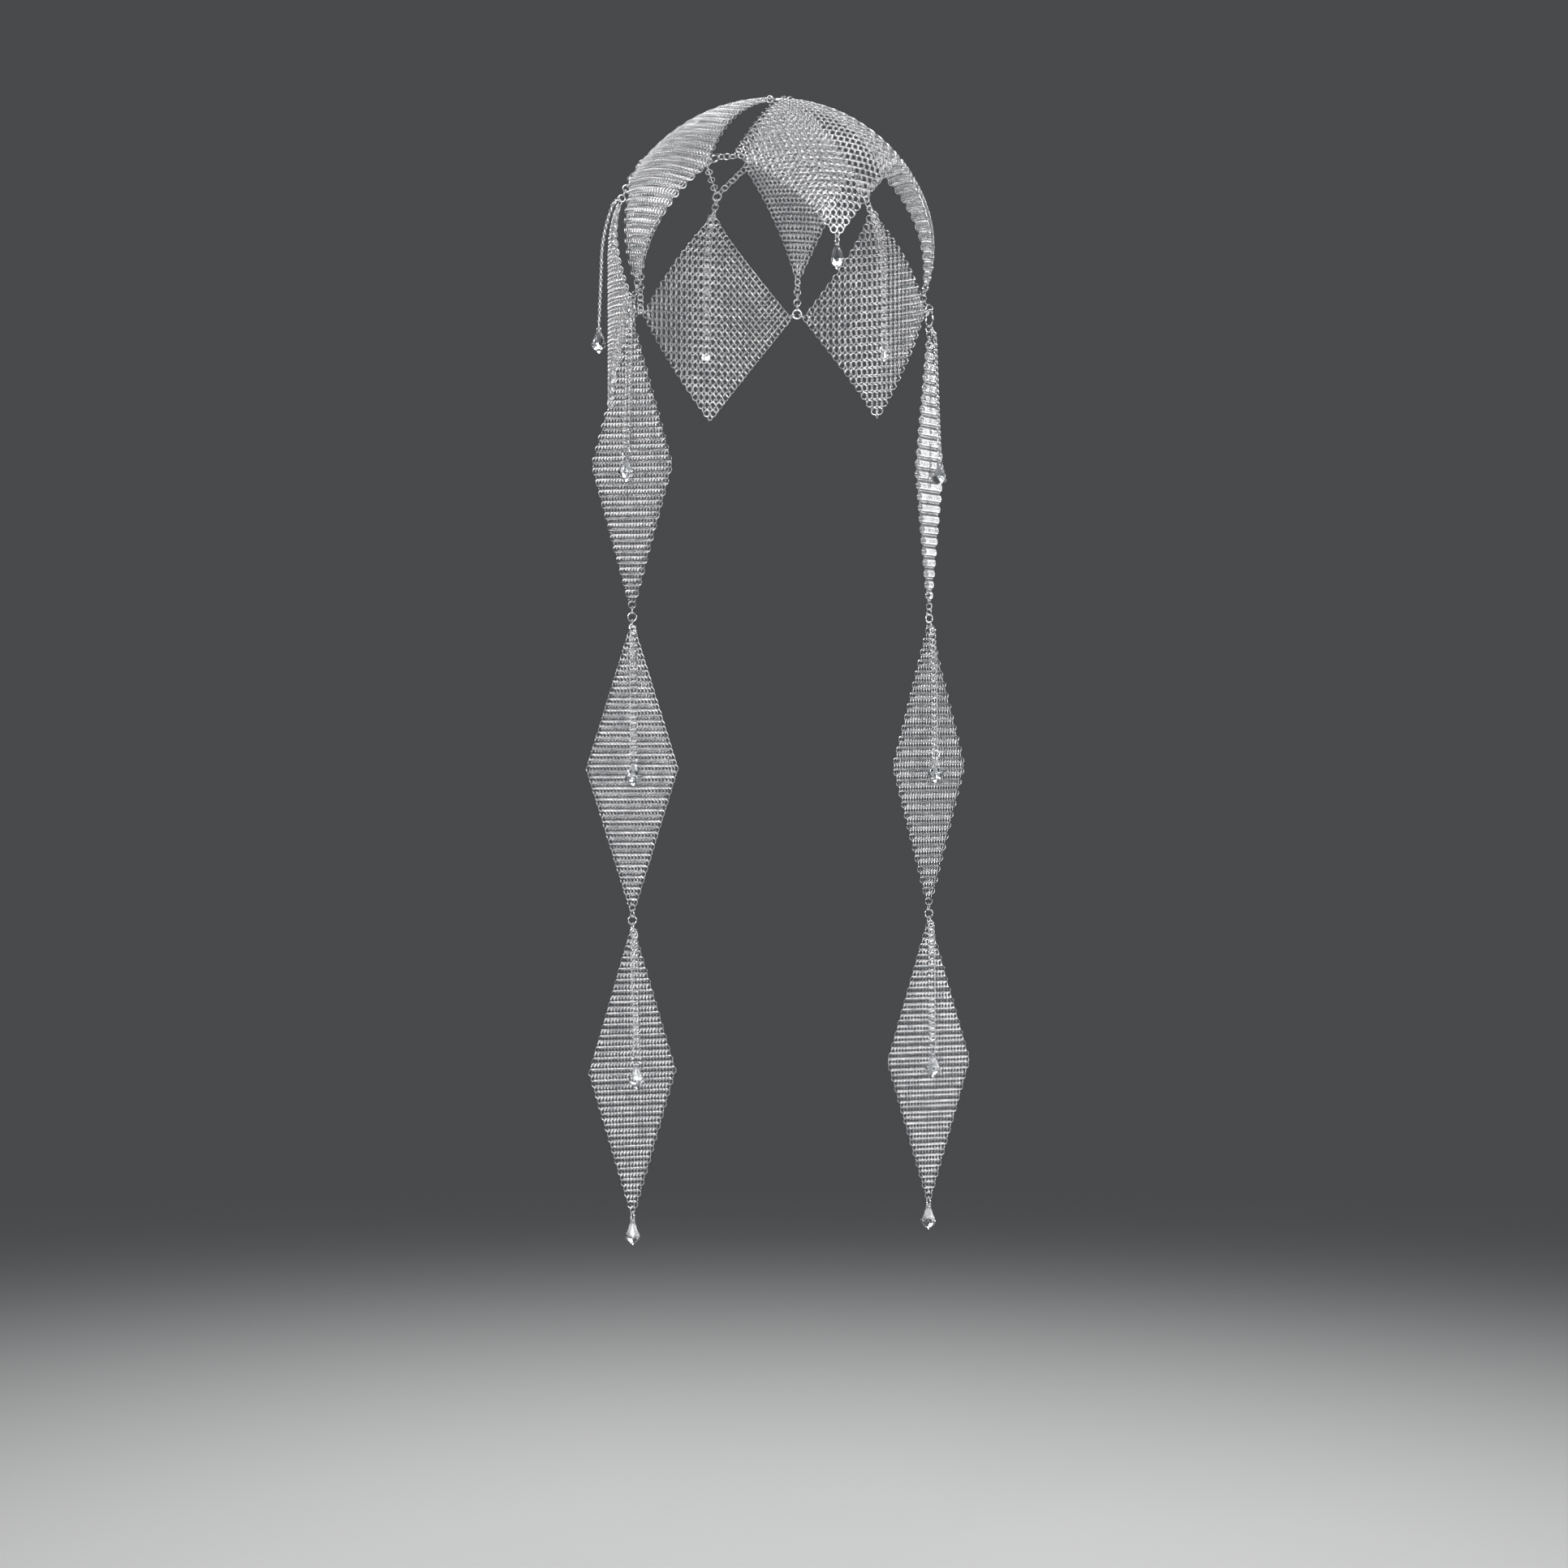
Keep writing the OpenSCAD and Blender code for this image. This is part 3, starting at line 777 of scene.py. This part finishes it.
def mirrored(panel: bpy.types.Object, name: str) -> bpy.types.Object:
    """Makes a piece's mirror image for the other side of the head.

    Args:
        panel: the piece at the wearer's right.
        name: the new object's name.

    Returns:
        The mirror image, with its faces pointing outwards.
    """
    other = panel.copy()
    other.data = panel.data.copy()
    bpy.context.scene.collection.objects.link(other)
    other.name = name
    other.data.name = name
    other.scale = (-1.0, 1.0, 1.0)
    settle(other)
    bpy.ops.object.mode_set(mode="EDIT")
    bpy.ops.mesh.select_all(action="SELECT")
    bpy.ops.mesh.normals_make_consistent(inside=False)
    bpy.ops.object.mode_set(mode="OBJECT")
    return other


# Sub-assemblies


@dataclass
class Cap:
    """The panels that cover the head, and the rings that join them."""

    ring: MailRing
    head: HeadForm
    steel: SteelFinish
    side_angle: float = 79.5
    rear_angle: float = 147.0
    low_angle: float = 114.6
    all_corners: Tuple[Corner, ...] = (Corner.TOP, Corner.FOOT, Corner.FRONT, Corner.BACK)

    def common(self) -> Dict[str, object]:
        """What every panel of the cap shares."""
        return dict(body="cap", ring=self.ring, head=self.head, loose=self.all_corners)

    def low_panels(self) -> Tuple[LowPanel, LowPanel]:
        """The low panel at the wearer's right and the one at the back.

        Returns:
            The right panel and the back panel.
        """
        common = self.common()
        return (LowPanel("mail_low_r", angle=self.low_angle, **common),
                LowPanel("mail_low_back", angle=180.0, **common))

    def build(self, pattern: bpy.types.Object) -> List[bpy.types.Object]:
        """Weaves every panel of the cap over its packed sheet.

        Args:
            pattern: the modelled ring.

        Returns:
            The cap's pieces.
        """
        common = self.common()
        front = CrownPanel("mail_front", angle=0.0, drop=81.0, pitch=3.82, **common)
        side = CrownPanel("mail_side_r", angle=self.side_angle, drop=104.0, pitch=2.65, **common)
        rear = CrownPanel("mail_rear_r", angle=self.rear_angle, drop=88.0, pitch=2.45, **common)
        low, back = self.low_panels()
        pieces: List[bpy.types.Object] = []
        for panel in (front, back):
            pieces.append(self.seat(panel.weave(pattern), panel.node))
        for panel in (side, rear, low):
            right = self.seat(panel.weave(pattern), panel.node)
            left_node = panel.node[:-1] + "l"
            left = self.seat(mirrored(right, left_node + "_mail"), left_node)
            pieces += [right, left]
        return pieces

    def seat(self, piece: bpy.types.Object, node: str) -> bpy.types.Object:
        """Dresses a panel and puts it in the place of its packed sheet.

        Args:
            piece: the mail that was modelled.
            node: the name of the sheet that it replaces.

        Returns:
            The piece, dressed and in place.
        """
        dress(piece, self.steel.material())
        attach(piece, "cap")
        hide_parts(node)
        return piece


@dataclass
class Strand:
    """The three hanging panels of one side."""

    ring: MailRing
    steel: SteelFinish
    turns: Tuple[float, float, float] = (50.0, 14.0, 0.0)

    def panels(self) -> List[HangingPanel]:
        """The three panels of the right strand, each where its packed sheet hangs.

        Returns:
            The three panels, from the top.
        """
        found: List[HangingPanel] = []
        for number, turned in enumerate(self.turns, 1):
            node = f"strand_{number}_r"
            low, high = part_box(node)
            middle = (low + high) / 2 / MM
            top = high.z / MM - (self.ring.diameter + self.ring.wire) / 2
            found.append(HangingPanel(node, f"panel_{number}_r", self.ring, turned=turned,
                                      first=Vector((middle.x, middle.y, top))))
        return found

    def build(self, pattern: bpy.types.Object) -> List[bpy.types.Object]:
        """Weaves the right strand and mirrors it for the left.

        Args:
            pattern: the modelled ring.

        Returns:
            The pieces of both strands.
        """
        pieces: List[bpy.types.Object] = []
        for number, panel in enumerate(self.panels(), 1):
            right = panel.weave(pattern)
            left = mirrored(right, f"strand_{number}_l_mail")
            for piece, side in ((right, "r"), (left, "l")):
                dress(piece, self.steel.material())
                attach(piece, f"panel_{number}_{side}")
                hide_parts(f"strand_{number}_{side}")
                pieces.append(piece)
        return pieces


@dataclass
class Chains:
    """The nine chains: one over each low panel and one over each panel of the strands."""

    steel: SteelFinish
    link: CurbLink = field(default_factory=CurbLink)

    def build(self, low: MailPanel, back: MailPanel, strand: Sequence[MailPanel]) -> List[bpy.types.Object]:
        """Links every chain, right side first, and mirrors those of the sides.

        Args:
            low: the low panel at the wearer's right.
            back: the low panel at the back.
            strand: the three panels of the right strand.

        Returns:
            The chains.
        """
        pattern = self.link.model(low.ring.step)
        chains = [PanelChain(low, "low_chain_r", "chain_low_r")]
        chains += [PanelChain(panel, f"chain_{number}_r", f"chain_{number}_r")
                   for number, panel in enumerate(strand, 1)]
        pieces = [self.seat(PanelChain(back, "low_chain_back", "").build(pattern),
                            "low_chain_back", "chain_low_back")]
        for chain in chains:
            right = self.seat(chain.build(pattern), chain.node, chain.body)
            node, body = chain.node[:-1] + "l", chain.body[:-1] + "l"
            pieces += [right, self.seat(mirrored(right, node + "_links"), node, body)]
        bpy.data.objects.remove(pattern)
        return pieces

    def seat(self, piece: bpy.types.Object, node: str, body: str) -> bpy.types.Object:
        """Dresses a chain and puts it in the place of its packed one.

        Args:
            piece: the chain that was modelled.
            node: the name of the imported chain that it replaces.
            body: the name of the body that it moves with.

        Returns:
            The piece, dressed and in place.
        """
        dress(piece, self.steel.material())
        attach(piece, body)
        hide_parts(node)
        return piece


@dataclass
class PackedPieces:
    """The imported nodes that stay: larger rings, short runs and drops, which need their finish."""

    steel: SteelFinish
    glass: GlassFinish

    def build(self, nodes: Dict[str, bpy.types.Object]) -> None:
        """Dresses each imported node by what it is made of.

        Args:
            nodes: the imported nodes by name.
        """
        for name, node in nodes.items():
            finish = self.glass if "glass" in name else self.steel
            dress(node, finish.material())
            log.info("%s is dressed as %s", name, finish.name)


# Studio


@dataclass
class Studio:
    """A pale floor, a plain grey room, soft lights and the camera at the photograph's angle."""

    azimuth: float = -22.0
    elevation: float = 1.5
    frame_width: float = 0.879
    lens: float = 100.0
    sensor: float = 36.0
    aim: Tuple[float, float, float] = (0.0, 0.0, -0.381)
    floor_z: float = -0.86
    lamp_spread: float = 100.0
    floor_colour: Tuple[float, float, float] = (0.72, 0.72, 0.72)
    room_colour: Tuple[float, float, float] = (0.065, 0.068, 0.072)

    def floor(self) -> None:
        """Makes a pale round floor that fades into the room towards its edge."""
        clear_selection()
        bpy.ops.mesh.primitive_circle_add(vertices=96, radius=9.0, fill_type="NGON",
                                          location=(0.0, 0.0, self.floor_z))
        floor = bpy.context.view_layer.objects.active
        floor.name = "studio_floor"
        settle(floor)
        material = bpy.data.materials.new("floor_paper")
        material.use_nodes = True
        nodes, links = material.node_tree.nodes, material.node_tree.links
        shader = nodes["Principled BSDF"]
        shader.inputs["Base Color"].default_value = (*self.floor_colour, 1.0)
        shader.inputs["Roughness"].default_value = 0.9
        room = nodes.new("ShaderNodeEmission")
        room.inputs["Color"].default_value = (*self.room_colour, 1.0)
        place = nodes.new("ShaderNodeTexCoord")
        level = nodes.new("ShaderNodeVectorMath")
        level.operation = "MULTIPLY"
        level.inputs[1].default_value = (1.0, 1.0, 0.0)
        reach = nodes.new("ShaderNodeVectorMath")
        reach.operation = "LENGTH"
        fade = nodes.new("ShaderNodeMapRange")
        fade.interpolation_type = "SMOOTHSTEP"
        fade.inputs["From Min"].default_value = 0.25
        fade.inputs["From Max"].default_value = 2.2
        path = nodes.new("ShaderNodeLightPath")
        seen = nodes.new("ShaderNodeMath")
        seen.operation = "ADD"
        seen_too = nodes.new("ShaderNodeMath")
        seen_too.operation = "ADD"
        seen_too.use_clamp = True
        share = nodes.new("ShaderNodeMath")
        share.operation = "MULTIPLY"
        mix = nodes.new("ShaderNodeMixShader")
        links.new(place.outputs["Object"], level.inputs[0])
        links.new(level.outputs["Vector"], reach.inputs[0])
        links.new(reach.outputs["Value"], fade.inputs["Value"])
        links.new(path.outputs["Is Camera Ray"], seen.inputs[0])
        links.new(path.outputs["Is Glossy Ray"], seen.inputs[1])
        links.new(seen.outputs["Value"], seen_too.inputs[0])
        links.new(path.outputs["Is Transmission Ray"], seen_too.inputs[1])
        links.new(fade.outputs["Result"], share.inputs[0])
        links.new(seen_too.outputs["Value"], share.inputs[1])
        links.new(share.outputs["Value"], mix.inputs["Fac"])
        links.new(shader.outputs["BSDF"], mix.inputs[1])
        links.new(room.outputs["Emission"], mix.inputs[2])
        links.new(mix.outputs["Shader"], nodes["Material Output"].inputs["Surface"])
        dress(floor, material)

    def light(self, name: str, place: Tuple[float, float, float], size: float, glow: float) -> None:
        """Adds one soft square lamp that faces the veil.

        Args:
            name: the lamp's name.
            place: where it stands, in metres.
            size: the length of its side.
            glow: how bright its face looks, where 1 is white.
        """
        clear_selection()
        bpy.ops.object.light_add(type="AREA", location=place)
        lamp = bpy.context.view_layer.objects.active
        lamp.name = name
        lamp.data.size = size
        lamp.data.energy = glow * math.pi * size * size
        lamp.data.spread = math.radians(self.lamp_spread)
        way = Vector((0.0, 0.0, -0.3)) - Vector(place)
        lamp.rotation_euler = way.to_track_quat("-Z", "Y").to_euler()

    def world(self) -> None:
        """Surrounds the veil with a plain grey room, the colour that the floor fades to."""
        world = bpy.context.scene.world or bpy.data.worlds.new("room")
        bpy.context.scene.world = world
        world.use_nodes = True
        room = world.node_tree.nodes["Background"]
        room.inputs["Color"].default_value = (*self.room_colour, 1.0)
        room.inputs["Strength"].default_value = 1.0

    def away(self) -> Vector:
        """The direction from the veil to the camera.

        Returns:
            The unit direction.
        """
        a, e = math.radians(self.azimuth), math.radians(self.elevation)
        return Vector((math.sin(a) * math.cos(e), -math.cos(a) * math.cos(e), math.sin(e)))

    def camera(self) -> None:
        """Sets the camera at the photograph's azimuth, height and framing."""
        data = bpy.data.cameras.new("photo_view")
        data.lens = self.lens
        data.sensor_width = self.sensor
        camera = bpy.data.objects.new("photo_view", data)
        bpy.context.scene.collection.objects.link(camera)
        far = self.frame_width * self.lens / self.sensor
        a, away = math.radians(self.azimuth), self.away()
        right = Vector((math.cos(a), math.sin(a), 0.0))
        aim = Vector(self.aim) + right * 0.0027
        camera.location = aim + away * far
        camera.rotation_euler = (-away).to_track_quat("-Z", "Y").to_euler()
        bpy.context.scene.camera = camera

    def build(self) -> None:
        """Sets up the whole studio."""
        bpy.context.scene.view_settings.view_transform = "Standard"
        self.floor()
        self.world()
        self.light("key", (-1.4, -1.7, 0.6), 1.2, 3.2)
        self.light("fill", (1.9, -1.0, 0.0), 1.1, 1.7)
        self.light("top", (0.1, -0.3, 1.7), 1.1, 1.1)
        self.light("rim", (0.7, 1.8, 0.6), 1.1, 1.9)
        self.camera()


def main() -> None:
    """Builds the veil's pieces in order and reports each one."""
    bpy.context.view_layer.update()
    ring, head = MailRing(), HeadForm()
    steel, glass = SteelFinish(), GlassFinish()
    Studio().build()
    PackedPieces(steel, glass).build(frame["nodes"])
    pattern = ring.model()
    cap, strand = Cap(ring, head, steel), Strand(ring, steel)
    pieces = cap.build(pattern) + strand.build(pattern)
    pieces += Chains(steel).build(*cap.low_panels(), strand.panels())
    bpy.data.objects.remove(pattern)
    for piece in pieces:
        log.info("%s has %d faces", piece.name, len(piece.data.polygons))


if __name__ == "__main__":
    logging.basicConfig(level=logging.INFO)
    main()
